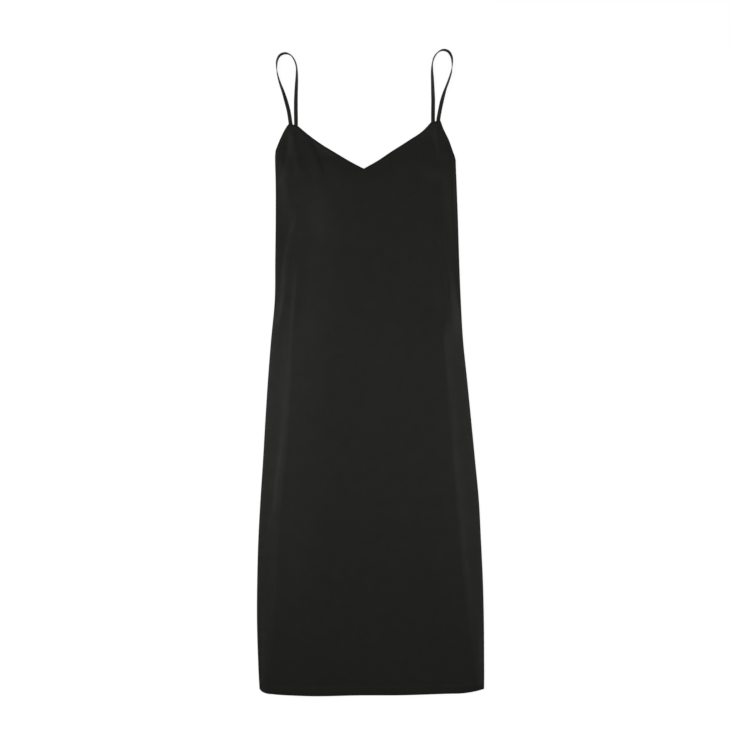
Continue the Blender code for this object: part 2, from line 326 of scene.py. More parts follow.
# The panels' cells across, as stretches between places at armhole level, and up, as (share reached, cells).
# Round the rolled sides and the rounded hem and top edges they are given in degrees.
Stretch = namedtuple("Stretch", "start end cell")
FOOT_OF_V = -13.8
V_ZONE = 20
BAND_CELL = 2.2
CELL = 4
V_CELL = 2.5
BACK_CELL = 6
ROLL_STEP = 7.5
FRONT_ROWS = ((0.0185, 20), (0.93, 246), (0.99, 30), (1.0, 11))
BACK_ROWS = ((0.0185, 16), (0.98, 160), (1.0, 14))
RIM_ANGLES = (45, 90, 135)

# Finer folds on the front, of the same kind as the long ones but soft on both sides.
FINE_FOLDS = [
    Fold("left", 9, 26, [
        Crest(-444, 10.7, 0.0),
        Crest(-366, 18.0, 0.1),
        Crest(-286, 27.0, 0.3),
        Crest(-259, 32.0, 0.45),
        Crest(-218, 33.0, 0.5),
        Crest(-164, 37.0, 0.5),
        Crest(-121, 38.5, 0.3),
        Crest(-60, 38.5, 0.1),
        Crest(0, 38.5, 0.0),
    ]),
    Fold("left", 32, 150, [
        Crest(270, 34.0, 0.0),
        Crest(325, 31.0, 2.2),
        Crest(355, 28.0, 2.9),
        Crest(385, 26.0, 2.6),
        Crest(402, 25.0, 1.6),
        Crest(424, 24.0, 0.0),
    ]),
    Fold("left", 70, 160, [
        Crest(240, 112.0, 0.0),
        Crest(300, 112.0, 1.6),
        Crest(340, 110.0, 2.4),
        Crest(375, 106.0, 1.8),
        Crest(420, 100.0, 0.0),
    ]),
    Fold("left", 7, 16, [
        Crest(60, 12.0, 0.0),
        Crest(106, 14.2, 0.25),
        Crest(141, 17.2, 0.3),
        Crest(207, 20.3, 0.3),
        Crest(254, 26.9, 0.3),
        Crest(293, 38.6, 0.25),
        Crest(330, 50.0, 0.0),
    ]),
    Fold("left", 7, 18, [
        Crest(70, 40.0, 0.0),
        Crest(111, 40.0, 0.25),
        Crest(150, 40.4, 0.25),
        Crest(189, 44.5, 0.25),
        Crest(225, 50.0, 0.0),
    ]),
    Fold("right", 9, 14, [
        Crest(85, 9.0, 0.0),
        Crest(109, 10.5, 0.7),
        Crest(125, 12.5, 0.85),
        Crest(141, 14.5, 0.9),
        Crest(156, 17.0, 0.95),
        Crest(172, 19.5, 1.0),
        Crest(187, 21.5, 0.9),
        Crest(203, 24.0, 0.7),
        Crest(219, 26.5, 0.55),
        Crest(250, 29.0, 0.5),
        Crest(281, 33.0, 0.4),
        Crest(310, 36.0, 0.0),
    ]),
    Fold("left", 9, 32, [
        Crest(-610, 12.0, 0.6),
        Crest(-580, 13.0, 1.0),
        Crest(-545, 14.5, 0.8),
        Crest(-490, 16.0, 0.4),
        Crest(-430, 18.0, 0.0),
    ]),
    Fold("right", 9, 34, [
        Crest(-610, 11.0, 0.6),
        Crest(-570, 12.0, 0.7),
        Crest(-520, 13.0, 0.5),
        Crest(-460, 15.0, 0.0),
    ]),
    Fold("right", 6.5, 26, [
        Crest(250, 6.5, 0.0),
        Crest(295, 7.5, 0.9),
        Crest(325, 8.0, 1.4),
        Crest(375, 8.0, 1.4),
        Crest(400, 7.5, 0.9),
        Crest(425, 7.0, 0.0),
    ]),
    Fold("right", 9, 26, [
        Crest(-493, 10.7, 0.0),
        Crest(-438, 26.7, 0.2),
        Crest(-396, 33.7, 0.2),
        Crest(-345, 37.6, 0.2),
        Crest(-302, 37.8, 0.2),
        Crest(-251, 42.0, 0.2),
        Crest(-184, 42.0, 0.2),
        Crest(-99, 36.0, 0.2),
        Crest(-70, 34.5, 0.2),
        Crest(-23, 35.7, 0.15),
        Crest(40, 37.0, 0.0),
    ]),
]

# Creases: a run from one place down to another, bowed to the right where bow is positive. Each is a soft
# ridge, or a trough where height is negative, with its own reach to either side.
Crease = namedtuple("Crease", "x up end_x end_up bow left right height")
CREASE_FADE = 0.35
FRONT_CREASES = [
    Crease(-159.5, 480.0, -170.0, 390.0, 0.5, 7.5, 12, -0.9),
    Crease(-174.0, 449.0, -183.5, 402.0, 0.0, 7, 6, 0.5),
    Crease(-155.0, 490.0, -135.0, 376.0, 0.0, 15, 9, 1.0),
    Crease(-140.6, 480.0, -93.8, 370.9, 7.0, 24, 7, 1.25),
    Crease(-92.0, 500.0, -28.0, 330.0, 0.0, 42, 80, 1.8),
    Crease(-149.0, 400.0, -181.0, 367.0, 2.0, 8, 8, 0.7),
    Crease(-139.0, 327.0, -160.0, 304.0, 0.0, 6, 6, 0.5),
    Crease(114.9, 495.7, 124.6, 390.3, 0.0, 26, 14, -0.8),
    Crease(122.7, 507.3, 153.9, 400.0, 0.0, 18, 7, 1.2),
    Crease(120.0, 337.0, 132.0, 283.0, -2.0, 9, 9, -0.4),
]
# The back's creases lift its underside a little off the surface, and so do its hem's stitches.
STITCH_TROUGH = 0.25
STITCH_TROUGH_REACH = 4
BACK_CREASES = [
    Crease(-150.0, 402.0, -128.0, 330.0, -3.0, 9, 9, 0.6),
    Crease(-108.0, 392.0, -92.0, 338.0, 2.0, 8, 8, 0.5),
    Crease(128.0, 398.0, 112.0, 322.0, 3.0, 9, 9, 0.6),
    Crease(92.0, 388.0, 84.0, 345.0, -1.5, 7, 7, 0.4),
    Crease(-168.0, 190.0, -176.0, 20.0, -4.0, 8, 12, 0.6),
    Crease(-150.0, 60.0, -172.0, -330.0, 7.0, 11, 17, 0.7),
    Crease(148.0, 150.0, 156.0, -40.0, 4.0, 12, 8, 0.6),
    Crease(146.0, -20.0, 176.0, -420.0, -8.0, 17, 11, 0.7),
    Crease(-40.0, -180.0, -58.0, -470.0, -6.0, 16, 16, 0.4),
    Crease(52.0, 120.0, 38.0, -160.0, 6.0, 16, 16, 0.4),
]

# The slight dome of the front between the long folds of its two sides.
DOME_HEIGHT = 2.6
DOME_REACH = 175
DOME_UP = -130
DOME_LENGTH = 560

# Slow swells of the cloth, longer along the dress than across it, and small puckers along the side seams,
# whose rhythm wanders by PUCKER_WANDER radians.
SWELLS = 16
SWELL_LENGTH = (110, 340)
SWELL_STRETCH = 2.6
SWELL_SLOPE = 0.0042
PUCKER_HEIGHT = 0.14
PUCKER_PERIOD = 17
PUCKER_DRIFT = 96
PUCKER_WANDER = 2
PUCKER_REACH = 12

# The ribbon of a strap, drawn finer than its solid, whose roll wavers by WAVER_TURN degrees along it. Its
# cross-section would be an ellipse at powers of 1, and is squarer at lower ones.
STRAP_STATION = 1.5
RIBBON_POINTS = 20
RIBBON_THICKNESS = 1.45
WIDE_POWER = 0.45
THICK_POWER = 0.75
WAVER_TURN = 2.5
WAVER_PERIOD = 47

# A stitch: a slim spindle with two tips, and between them rings as shares of its half length and its thread.
STITCH_SIDES = 6
SPINDLE = ((-0.8, 0.75), (0.0, 1.0), (0.8, 0.75))

# The hem's blind stitches, each turned towards the hem's place LOOK_AHEAD further on, and the stitches in
# the groove of a side seam. A thread is given by its radius, and HEM_STITCH_SHOWS is the share of it by
# which a stitch's middle stands out of the cloth.
LOOK_AHEAD = 1
HEM_STITCH_PITCH = 9
HEM_STITCH_LENGTH = 1.1
HEM_THREAD = 0.15
HEM_STITCH_SHOWS = 0.3
SEAM_STITCH_PITCH = 2.5
SEAM_STITCH_LENGTH = 2.0
SEAM_THREAD = 0.14
SEAM_RECESS = 0.25

# The turnings of a side seam. Each of their corners is cut from ALLOWANCE_BLUNT times the half thickness up
# the side to as far in along the face.
ALLOWANCE_WIDTH = 9
ALLOWANCE_THICKNESS = 0.9
ALLOWANCE_BLUNT = 0.6
ALLOWANCE_INSET = 0.75
ALLOWANCE_STATION = 8

# The camera looks straight down. The photograph's frame, and what a pixel of it spans on the dress.
FRAME_PIXELS = (730, 747)
MM_PER_PIXEL = 1.95
FRAME_CENTRE = (-10.92, -1.66)
CAMERA_HEIGHT = 4000
SENSOR = 36
NEAREST_SEEN = 100


# --------------------------------------------------------------------------------------------------
# Curves and falls
# --------------------------------------------------------------------------------------------------


def smooth(at, rows, column):
    """A column of a table at `at`, on a cubic curve through its rows, level past both ends."""
    position = np.array([row[0] for row in rows], float)
    value = np.array([getattr(row, column) for row in rows], float)
    slope = np.gradient(value, position)
    at = np.clip(at, position[0], position[-1])
    low = np.clip(np.searchsorted(position, at) - 1, 0, len(position) - 2)
    high = low + 1
    span = position[high] - position[low]
    t = (at - position[low]) / span
    rise = value[low] + (value[high] - value[low]) * t * t * (3 - 2 * t)
    return rise + span * t * (1 - t) * (slope[low] * (1 - t) - slope[high] * t)


def ease(share):
    """0 up to share 0, 1 from share 1 on, and an S curve between."""
    share = np.clip(share, 0, 1)
    return share * share * (3 - 2 * share)


def bell(share):
    """1 at 0, falling softly to 0 at a share of 1 either way."""
    return np.cos(np.clip(np.abs(share), 0, 1) * math.pi / 2) ** 2


def slope_down(share):
    """1 at 0, then down an even slope to 0 at a share of 1."""
    share = np.clip(share, 0, 1)
    return 1 - (1 + FOLD_SHOULDER) * share * share / (share + FOLD_SHOULDER)


# --------------------------------------------------------------------------------------------------
# The outline and the form of the solids
# --------------------------------------------------------------------------------------------------


def front_top(x):
    """How far up the front's top edge is at x, over its six stretches."""
    stretches = list(FRONT_TOP.values())
    up = smooth(x, stretches[0], "up")
    for stretch in stretches[1:]:
        up = np.where(x > stretch[0].x, smooth(x, stretch, "up"), up)
    return up


def back_top(x):
    """How far up the back's top edge is at x."""
    return smooth(x, BACK_TOP, "up")


def across(pit_x, up):
    """X at height `up` of the column that stands at pit_x between the armholes' lowest points."""
    left = smooth(up, SIDES, "left")
    right = smooth(up, SIDES, "right")
    into_left_band = np.minimum(pit_x - LEFT_PIT, BAND)
    into_right_band = np.maximum(pit_x - (RIGHT_PIT - BAND), 0)
    share = np.clip((pit_x - LEFT_PIT - BAND) / (RIGHT_PIT - LEFT_PIT - 2 * BAND), 0, 1)
    return left + into_left_band + share * (right - left - 2 * BAND) + into_right_band


def insets(x, up):
    """How far points lie in from each side edge."""
    return {"left": x - smooth(up, SIDES, "left"), "right": smooth(up, SIDES, "right") - x}


def from_run(x, up, places):
    """Distance of points from a run of straight stretches between places."""
    nearest = np.full(np.shape(x), np.inf)
    for start, end in zip(places, places[1:]):
        run_x, run_up = end[0] - start[0], end[1] - start[1]
        share = ((x - start[0]) * run_x + (up - start[1]) * run_up) / (run_x**2 + run_up**2)
        share = np.clip(share, 0, 1)
        apart = np.hypot(x - start[0] - share * run_x, up - start[1] - share * run_up)
        nearest = np.minimum(nearest, apart)
    return nearest


def strap_ridge(x, up):
    """How high the strap ends under the front lift it, from 0 to 1."""
    runs = [run for route in STRAPS.values() for run in (route[:BENDS_AT_FRONT], route[-BENDS_TO_BACK:])]
    nearest = np.min([from_run(x, up, run) for run in runs], axis=0)
    return bell(np.maximum(nearest - RIDGE_CORE, 0) / (RIDGE_REACH - RIDGE_CORE))


def back_step(x, up):
    """1 over the back panel, 0 well past its top edge, where the cloth comes down to the surface."""
    past = up - back_top(x)
    return 1 - ease((past - STEP_START) / (STEP_END - STEP_START))


def puffed_sides(x, up):
    """Height that the folded side edges add to the front."""
    inset = insets(x, up)
    puff = EDGE_THICKNESS - 2 * WALL - SEAM_GAP
    height = puff * (bell(inset["left"] / EDGE_PUFF_REACH) + bell(inset["right"] / EDGE_PUFF_REACH))
    return height * (1 - ease((up - SIDES[-1].up) / EDGE_PUFF_REACH))


def fold_heights(x, up, folds, fall_outside):
    """Height of folds whose crests run along a side, with their fall towards the edge as a function."""
    inset = insets(x, up)
    height = np.zeros(np.shape(x))
    for fold in folds:
        crest = smooth(up, fold.crests, "inset")
        past = inset[fold.side] - crest
        outside = fall_outside(-past / np.minimum(fold.reach_out, crest))
        form = np.where(past > 0, bell(past / fold.reach_in), outside)
        height = height + smooth(up, fold.crests, "height") * form
    return height


def front_height(x, up):
    """Outer face of the front's solid."""
    under = SEAM_GAP + WALL * back_step(x, up) + RIDGE_HEIGHT * strap_ridge(x, up)
    return under + WALL + puffed_sides(x, up) + fold_heights(x, up, FOLDS, slope_down)


# --------------------------------------------------------------------------------------------------
# The cloth's own form
# --------------------------------------------------------------------------------------------------


def crease_heights(x, up, creases):
    """Height of creases: soft ridges and troughs along bowed runs that fade out at both ends."""
    height = np.zeros(np.shape(x))
    for crease in creases:
        run = np.array([crease.end_x - crease.x, crease.end_up - crease.up])
        length = np.linalg.norm(run)
        along = ((x - crease.x) * run[0] + (up - crease.up) * run[1]) / length**2
        aside = ((up - crease.up) * run[0] - (x - crease.x) * run[1]) / length
        aside = aside - crease.bow * (1 - (2 * along - 1) ** 2)
        fade = ease(along / CREASE_FADE) * ease((1 - along) / CREASE_FADE)
        reach = np.where(aside > 0, crease.right, crease.left)
        height = height + crease.height * fade * bell(aside / reach)
    return height


def dome(x, up):
    """Height of the front's slight dome."""
    middle = (smooth(up, SIDES, "left") + smooth(up, SIDES, "right")) / 2
    return DOME_HEIGHT * bell((x - middle) / DOME_REACH) * bell((up - DOME_UP) / DOME_LENGTH)


def swells(x, up, seed):
    """Slow uneven swells, as a sum of long waves that run mostly along the dress."""
    random = np.random.default_rng(seed)
    height = np.zeros(np.shape(x))
    for _ in range(SWELLS):
        length = random.uniform(*SWELL_LENGTH)
        lean = random.uniform(-1, 1)
        phase = random.uniform(0, 2 * math.pi)
        wave = 2 * math.pi * (x + up * lean / SWELL_STRETCH) / length
        height = height + SWELL_SLOPE * length / (2 * math.pi) * np.cos(wave + phase)
    return height


def puckers(x, up):
    """Small ripples across each side seam."""
    inset = insets(x, up)
    wave = 2 * math.pi * up / PUCKER_PERIOD + PUCKER_WANDER * np.sin(2 * math.pi * up / PUCKER_DRIFT)
    left = bell(inset["left"] / PUCKER_REACH) * np.sin(wave)
    right = bell(inset["right"] / PUCKER_REACH) * np.cos(wave)
    return PUCKER_HEIGHT * (left + right)


def turned(distance, turning):
    """1 over a turned edge, 0 past it."""
    return 1 - ease((distance - turning.width) / turning.step)


def turning_height(distance, turning):
    """Height that a turned edge adds: a soft raised band that drops at the very edge."""
    return turning.lift * turned(distance, turning) - turning.drop * bell(distance / turning.drop_reach)


def no_lower(height, floor):
    """Heights kept above a floor, with a soft corner."""
    softness = CLEARANCE / 2
    return floor + softness * np.logaddexp(0, (height - floor) / softness)


# --------------------------------------------------------------------------------------------------
# Grids and meshes
# --------------------------------------------------------------------------------------------------


def columns_across(stretches):
    """Columns as (pit_x, rise): cells between two rolled edges, where rise goes from 0 at the rim to 1."""
    rim_height = (EDGE_THICKNESS - SEAM_GAP) / 2
    radius = rim_height - LIP
    roll = [(0, 0), (0, LIP / rim_height)]
    for angle in np.radians(np.arange(ROLL_STEP, 90 + ROLL_STEP, ROLL_STEP)):
        roll.append((radius * (1 - math.cos(angle)), (LIP + radius * math.sin(angle)) / rim_height))
    between = []
    for stretch in stretches:
        cells = math.ceil((stretch.end - stretch.start) / stretch.cell)
        between += list(np.linspace(stretch.start, stretch.end, cells, endpoint=False))
    between = [pit_x for pit_x in between if LEFT_PIT + radius < pit_x < RIGHT_PIT - radius]
    columns = [(LEFT_PIT + inset, rise) for inset, rise in roll]
    columns += [(pit_x, 1) for pit_x in between]
    columns += [(RIGHT_PIT - inset, rise) for inset, rise in reversed(roll)]
    return np.array(columns).T


def row_shares(table):
    """Rows as shares of a panel's length, from a table of (share reached, cells)."""
    shares = [0.0]
    for reached, cells in table:
        shares += list(np.linspace(shares[-1], reached, cells + 1)[1:])
    return np.array(shares)


def panel_grid(pit_x, rows, hem_rise, top_edge):
    """X and place up the dress of a panel's grid points, a row of points for each share of its length."""
    low = smooth(across(pit_x, HEM_LEVEL), HEM, "up") + hem_rise
    high = top_edge(pit_x)
    up = low + rows[:, None] * (high - low)
    return across(pit_x, up), up


def edge_distances(x, up):
    """Distances of a panel's grid points from its hem and top edge. A rim's two columns share their x."""
    hem, top = [list(zip(x[row, 1:-1], up[row, 1:-1])) for row in (0, -1)]
    return from_run(x, up, hem), from_run(x, up, top)


def grid_normals(points):
    """Unit normals of a grid, up where its rows run to the right and follow each other up the dress."""
    normal = np.cross(np.gradient(points, axis=1), np.gradient(points, axis=0))
    return normal / np.linalg.norm(normal, axis=-1, keepdims=True)


def ribbon_faces(first, second):
    """Quads between two runs of vertices."""
    return np.stack([first[:-1], first[1:], second[1:], second[:-1]], axis=-1).reshape(-1, 4).tolist()


def new_mesh_object(name, vertices, faces, material):
    """A smooth mesh object from vertices in millimetres."""
    mesh = bpy.data.meshes.new(name)
    mesh.from_pydata((np.reshape(vertices, (-1, 3)) * MM).tolist(), [], faces)
    mesh.materials.append(material)
    mesh.shade_smooth()
    made = bpy.data.objects.new(name, mesh)
    bpy.context.scene.collection.objects.link(made)
    return made


def cloth_shell(name, outer, thickness, faces_up, material):
    """A thin closed cloth from a grid through its outer face, its hem and top edge rounded as folds."""
    rows, columns, _ = outer.shape
    inwards = grid_normals(outer) * (-1 if faces_up else 1)
    inner = outer + inwards * thickness[..., None]
    vertices = [outer.reshape(-1, 3), inner.reshape(-1, 3)]
    outer_index = np.arange(rows * columns).reshape(rows, columns)
    inner_index = outer_index + rows * columns
    faces = []
    for row in range(rows - 1):
        faces += ribbon_faces(outer_index[row], outer_index[row + 1])
        faces += ribbon_faces(inner_index[row + 1], inner_index[row])
    faces += ribbon_faces(outer_index[:, -1], inner_index[:, -1])
    faces += ribbon_faces(inner_index[:, 0], outer_index[:, 0])
    used = 2 * rows * columns
    for row, next_row in ((0, 1), (-1, -2)):
        outwards = outer[row] - outer[next_row]
        outwards /= np.linalg.norm(outwards, axis=-1, keepdims=True)
        radius = thickness[row][:, None] / 2
        middle = outer[row] + inwards[row] * radius
        rings = [outer_index[row]]
        for angle in np.radians(RIM_ANGLES):
            vertices.append(middle + radius * (outwards * math.sin(angle) - inwards[row] * math.cos(angle)))
            rings.append(np.arange(used, used + columns))
            used += columns
        rings.append(inner_index[row])
        for ring, next_ring in zip(rings, rings[1:]):
            faces += ribbon_faces(next_ring, ring) if row == 0 else ribbon_faces(ring, next_ring)
        ends = [[int(ring[column]) for ring in rings] for column in (0, -1)]
        if row == 0:
            ends[1].reverse()
        else:
            ends[0].reverse()
        faces += ends
    if not faces_up:
        faces = [face[::-1] for face in faces]
    return new_mesh_object(name, np.concatenate(vertices), faces, material)


def sweep(name, centres, across_vectors, over_vectors, profile, material):
    """A closed solid swept along centres, its profile given as (across, over) points in turn."""
    stations, points = len(centres), len(profile)
    far_across, far_over = np.array(profile).T
    rings = (
        centres[:, None]
        + far_across[None, :, None] * across_vectors[:, None]
        + far_over[None, :, None] * over_vectors[:, None]
    )
    index = np.arange(stations * points).reshape(stations, points)
    closed = np.concatenate([index, index[:, :1]], axis=1)
    faces = []
    for station in range(stations - 1):
        faces += ribbon_faces(closed[station], closed[station + 1])
    faces += [index[0][::-1].tolist(), index[-1].tolist()]
    return new_mesh_object(name, rings, faces, material)


def stitches(name, middles, directions, length, thread, material):
    """Short threads, each a slim spindle round its middle along its direction, as one joined mesh."""
    angles = np.arange(STITCH_SIDES) * 2 * math.pi / STITCH_SIDES
    vertices, faces = [], []
    for middle, direction in zip(middles, directions):
        direction = direction / np.linalg.norm(direction)
        side = np.cross(direction, (0, 0, 1))
        side /= np.linalg.norm(side)
        over = np.cross(side, direction)
        used = len(vertices)
        for along, width in SPINDLE:
            centre = middle + direction * along * length / 2
            for angle in angles:
                vertices.append(centre + thread * width * (side * math.cos(angle) + over * math.sin(angle)))
        start_tip = len(vertices)
        vertices.append(middle - direction * length / 2)
        vertices.append(middle + direction * length / 2)
        last_ring = start_tip - STITCH_SIDES
        for point in range(STITCH_SIDES):
            next_point = (point + 1) % STITCH_SIDES
            for low in range(used, last_ring, STITCH_SIDES):
                high = low + STITCH_SIDES
                faces.append((low + point, high + point, high + next_point, low + next_point))
            faces.append((start_tip, used + point, used + next_point))
            faces.append((start_tip + 1, last_ring + next_point, last_ring + point))
    return new_mesh_object(name, np.array(vertices), faces, material)


# --------------------------------------------------------------------------------------------------
# Materials
# --------------------------------------------------------------------------------------------------

# A cloth's finish: its darkest and lightest colour, its least and most roughness, its gloss, its sheen, the
# pitch of its threads, its grain's features per metre, and the relief of its surface.
Finish = namedtuple("Finish", "dark light rough rougher specular sheen pitch grain relief")
CREPE = Finish(
    dark=(0.0149, 0.0148, 0.0132), light=(0.0179, 0.0177, 0.0157), rough=0.43, rougher=0.51,
    specular=0.22, sheen=0.03, pitch=0.42, grain=1300, relief=0.05,
)
# The straps' crepe is the panels' cloth as a lit copy, lighter in colour than the panels' crepe. That extra
# lightness is painted light.
LIT_STRAP_CREPE = Finish(
    dark=(0.0215, 0.0214, 0.0193), light=(0.0256, 0.0255, 0.0230), rough=0.50, rougher=0.58,
    specular=0.18, sheen=0.01, pitch=0.36, grain=1700, relief=0.035,
)
THREAD = Finish(
    dark=(0.0080, 0.0080, 0.0074), light=(0.0100, 0.0100, 0.0092), rough=0.42, rougher=0.50,
    specular=0.25, sheen=0.02, pitch=0.18, grain=3000, relief=0.01,
)

# What every finish shares: how uneven its threads are and what they add to the relief, the pebbles of its
# grain, and the clouds of tone and gloss, whose colours run between two values of their noise.
WEAVE_DISTORTION = 1.6
WEAVE_DETAIL = 2.0
WEAVE_DETAIL_SCALE = 1.4
WEAVE_SHARE = 0.5
PEBBLE_DETAIL = 3.0
PEBBLE_ROUGHNESS = 0.6
CLOUD_SCALE = 38
CLOUD_DETAIL = 4.0
CLOUD_ROUGHNESS = 0.5
CLOUD_RANGE = (0.3, 0.7)
SHEEN_ROUGHNESS = 0.5


def new_material(name):
    """A material with nodes, its node tree and its Principled shader."""
    material = bpy.data.materials.new(name)
    material.use_nodes = True
    tree = material.node_tree
    shader = tree.nodes["Principled BSDF"]
    return material, tree, shader


def noise(tree, coordinates, scale, detail, roughness):
    """A noise texture of `scale` features per metre."""
    node = tree.nodes.new("ShaderNodeTexNoise")
    node.inputs["Scale"].default_value = scale
    node.inputs["Detail"].default_value = detail
    node.inputs["Roughness"].default_value = roughness
    tree.links.new(coordinates, node.inputs["Vector"])
    return node.outputs["Fac"]


def threads(tree, coordinates, direction, pitch):
    """A wave for one set of threads, `pitch` millimetres apart, slightly uneven."""
    node = tree.nodes.new("ShaderNodeTexWave")
    node.bands_direction = direction
    node.wave_profile = "SIN"
    # A wave texture has one band to each pi / 10 of its scaled coordinate.
    node.inputs["Scale"].default_value = math.pi / 10 / (pitch * MM)
    node.inputs["Distortion"].default_value = WEAVE_DISTORTION
    node.inputs["Detail"].default_value = WEAVE_DETAIL
    node.inputs["Detail Scale"].default_value = WEAVE_DETAIL_SCALE
    tree.links.new(coordinates, node.inputs["Vector"])
    return node.outputs["Fac"]


def blend_values(tree, factor, low, high):
    """low where factor is 0, high where it is 1."""
    node = tree.nodes.new("ShaderNodeMapRange")
    node.inputs["To Min"].default_value = low
    node.inputs["To Max"].default_value = high
    tree.links.new(factor, node.inputs["Value"])
    return node.outputs["Result"]


def add_values(tree, first, second):
    """The sum of two values."""
    node = tree.nodes.new("ShaderNodeMath")
    node.operation = "ADD"
    tree.links.new(first, node.inputs[0])
    tree.links.new(second, node.inputs[1])
    return node.outputs["Value"]


def colour_between(tree, factor, dark, light):
    """A colour that goes from dark to light as a factor goes through CLOUD_RANGE."""
    node = tree.nodes.new("ShaderNodeValToRGB")
    for element, position, colour in zip(node.color_ramp.elements, CLOUD_RANGE, (dark, light)):
        element.position = position
        element.color = (*colour, 1)
    tree.links.new(factor, node.inputs["Fac"])
    return node.outputs["Color"]


def cloth_material(name, finish):
    """Matt woven cloth: crossing threads under a pebbly crepe grain, faintly uneven in tone and gloss."""
    material, tree, shader = new_material(name)
    coordinates = tree.nodes.new("ShaderNodeTexCoord").outputs["Object"]
    warp = threads(tree, coordinates, "X", finish.pitch)
    weft = threads(tree, coordinates, "Y", finish.pitch)
    pebbles = noise(tree, coordinates, finish.grain, PEBBLE_DETAIL, PEBBLE_ROUGHNESS)
    clouds = noise(tree, coordinates, CLOUD_SCALE, CLOUD_DETAIL, CLOUD_ROUGHNESS)
    weave = blend_values(tree, add_values(tree, warp, weft), 0, WEAVE_SHARE)
    surface = add_values(tree, weave, pebbles)
    bump = tree.nodes.new("ShaderNodeBump")
    bump.inputs["Distance"].default_value = finish.relief * MM
    bump.inputs["Strength"].default_value = 1.0
    tree.links.new(surface, bump.inputs["Height"])
    tree.links.new(bump.outputs["Normal"], shader.inputs["Normal"])
    tree.links.new(colour_between(tree, clouds, finish.dark, finish.light), shader.inputs["Base Color"])
    tree.links.new(blend_values(tree, clouds, finish.rougher, finish.rough), shader.inputs["Roughness"])
    shader.inputs["Specular IOR Level"].default_value = finish.specular
    shader.inputs["Sheen Weight"].default_value = finish.sheen
    shader.inputs["Sheen Roughness"].default_value = SHEEN_ROUGHNESS
    return material


# --------------------------------------------------------------------------------------------------
# The pieces
# --------------------------------------------------------------------------------------------------


def cut_at(places, cells):
    """Stretches of columns between places, with a cell size for each."""
    return [Stretch(start, end, cell) for start, end, cell in zip(places, places[1:], cells)]


def front_columns():
    """Columns of the front, fine in the bands and at the foot of the V, one at each corner of its edge."""
    corners = [stretch[0].x for stretch in FRONT_TOP.values()][1:]
    left_band, right_band = LEFT_PIT + BAND, RIGHT_PIT - BAND
    near_foot = [FOOT_OF_V - V_ZONE, FOOT_OF_V + V_ZONE]
    places = sorted([LEFT_PIT, RIGHT_PIT, left_band, right_band, *near_foot, *corners])
    cells = []
    for start, end in zip(places, places[1:]):
        middle = (start + end) / 2
        if middle < left_band or middle > right_band:
            cells.append(BAND_CELL)
        elif abs(middle - FOOT_OF_V) < V_ZONE:
            cells.append(V_CELL)
        else:
            cells.append(CELL)
    return columns_across(cut_at(places, cells))


def cloth_thickness(from_hem, from_top):
    """Thickness of a panel's cloth: double where it is turned along the hem and the top edge."""
    doubled = np.maximum(turned(from_hem, HEM_TURNING), turned(from_top, EDGE_TURNING))
    return SINGLE + (DOUBLE - SINGLE) * doubled


def make_front(material):
    """The front panel, from its rims at the side seams over the rolled edges, the folds and the creases."""
    pit_x, rise = front_columns()
    x, up = panel_grid(pit_x, row_shares(FRONT_ROWS), 0, front_top)
    from_hem, from_top = edge_distances(x, up)
    thickness = cloth_thickness(from_hem, from_top)
    height = front_height(x, up)
    height += fold_heights(x, up, FINE_FOLDS, bell)
    height += crease_heights(x, up, FRONT_CREASES)
    height += dome(x, up) + swells(x, up, SEED) + puckers(x, up)
    height += turning_height(from_hem, HEM_TURNING) + turning_height(from_top, EDGE_TURNING)
    height = no_lower(height, thickness + CLEARANCE + (DOUBLE + CLEARANCE) * back_step(x, up))
    rim = (EDGE_THICKNESS + SEAM_GAP) / 2
    height = rim + rise * (height - rim)
    outer = np.stack([x, up, height], axis=-1)
    return cloth_shell("front", outer, thickness, True, material), outer


def make_back(material):
    """The back panel, flat on the surface but for its creases, with its sides rolled up to the seams."""
    pit_x, rise = columns_across([Stretch(LEFT_PIT, RIGHT_PIT, BACK_CELL)])
    x, up = panel_grid(pit_x, row_shares(BACK_ROWS), BACK_HEM_SHORTER, back_top)
    from_hem, from_top = edge_distances(x, up)
    thickness = cloth_thickness(from_hem, from_top)
    rim = (EDGE_THICKNESS - SEAM_GAP) / 2
    height = rim * (1 - rise) + rise * crease_heights(x, up, BACK_CREASES)
    height += STITCH_TROUGH * bell((from_hem - HEM_TURNING.width) / STITCH_TROUGH_REACH)
    outer = np.stack([x, up, height], axis=-1)
    return cloth_shell("back", outer, thickness, False, material), outer


def strap_stations(bends):
    """A strap's route as x, up, height and turn, evenly spaced, with the ribbon's lowest edge resting."""
    steps = [math.dist(start[:2], end[:2]) for start, end in zip(bends, bends[1:])]
    reached = np.concatenate([[0], np.cumsum(steps)])
    rows = [Station(along, *bend) for along, bend in zip(reached, bends)]
    at = np.linspace(0, reached[-1], round(reached[-1] / STRAP_STATION) + 1)
    x = smooth(at, rows, "x")
    up = smooth(at, rows, "up")
    turn = np.radians(smooth(at, rows, "turn"))
    ground = (WALL + SEAM_GAP) * back_step(x, up)
    half_height = (STRAP_WIDTH * np.abs(np.sin(turn)) + STRAP_THICKNESS * np.abs(np.cos(turn))) / 2
    standing = np.sin(turn) ** 2
    turn = turn + math.radians(WAVER_TURN) * standing * np.sin(2 * math.pi * at / WAVER_PERIOD)
    return np.stack([x, up, ground + half_height], axis=-1), turn


def ribbon_profile():
    """The ribbon's cross-section: a pressed tube, flat on both faces and round at its edges."""
    angles = np.arange(RIBBON_POINTS) * 2 * math.pi / RIBBON_POINTS
    wide = np.sign(np.cos(angles)) * np.abs(np.cos(angles)) ** WIDE_POWER
    thick = np.sign(np.sin(angles)) * np.abs(np.sin(angles)) ** THICK_POWER
    return np.stack([wide * STRAP_WIDTH / 2, thick * RIBBON_THICKNESS / 2], axis=-1)


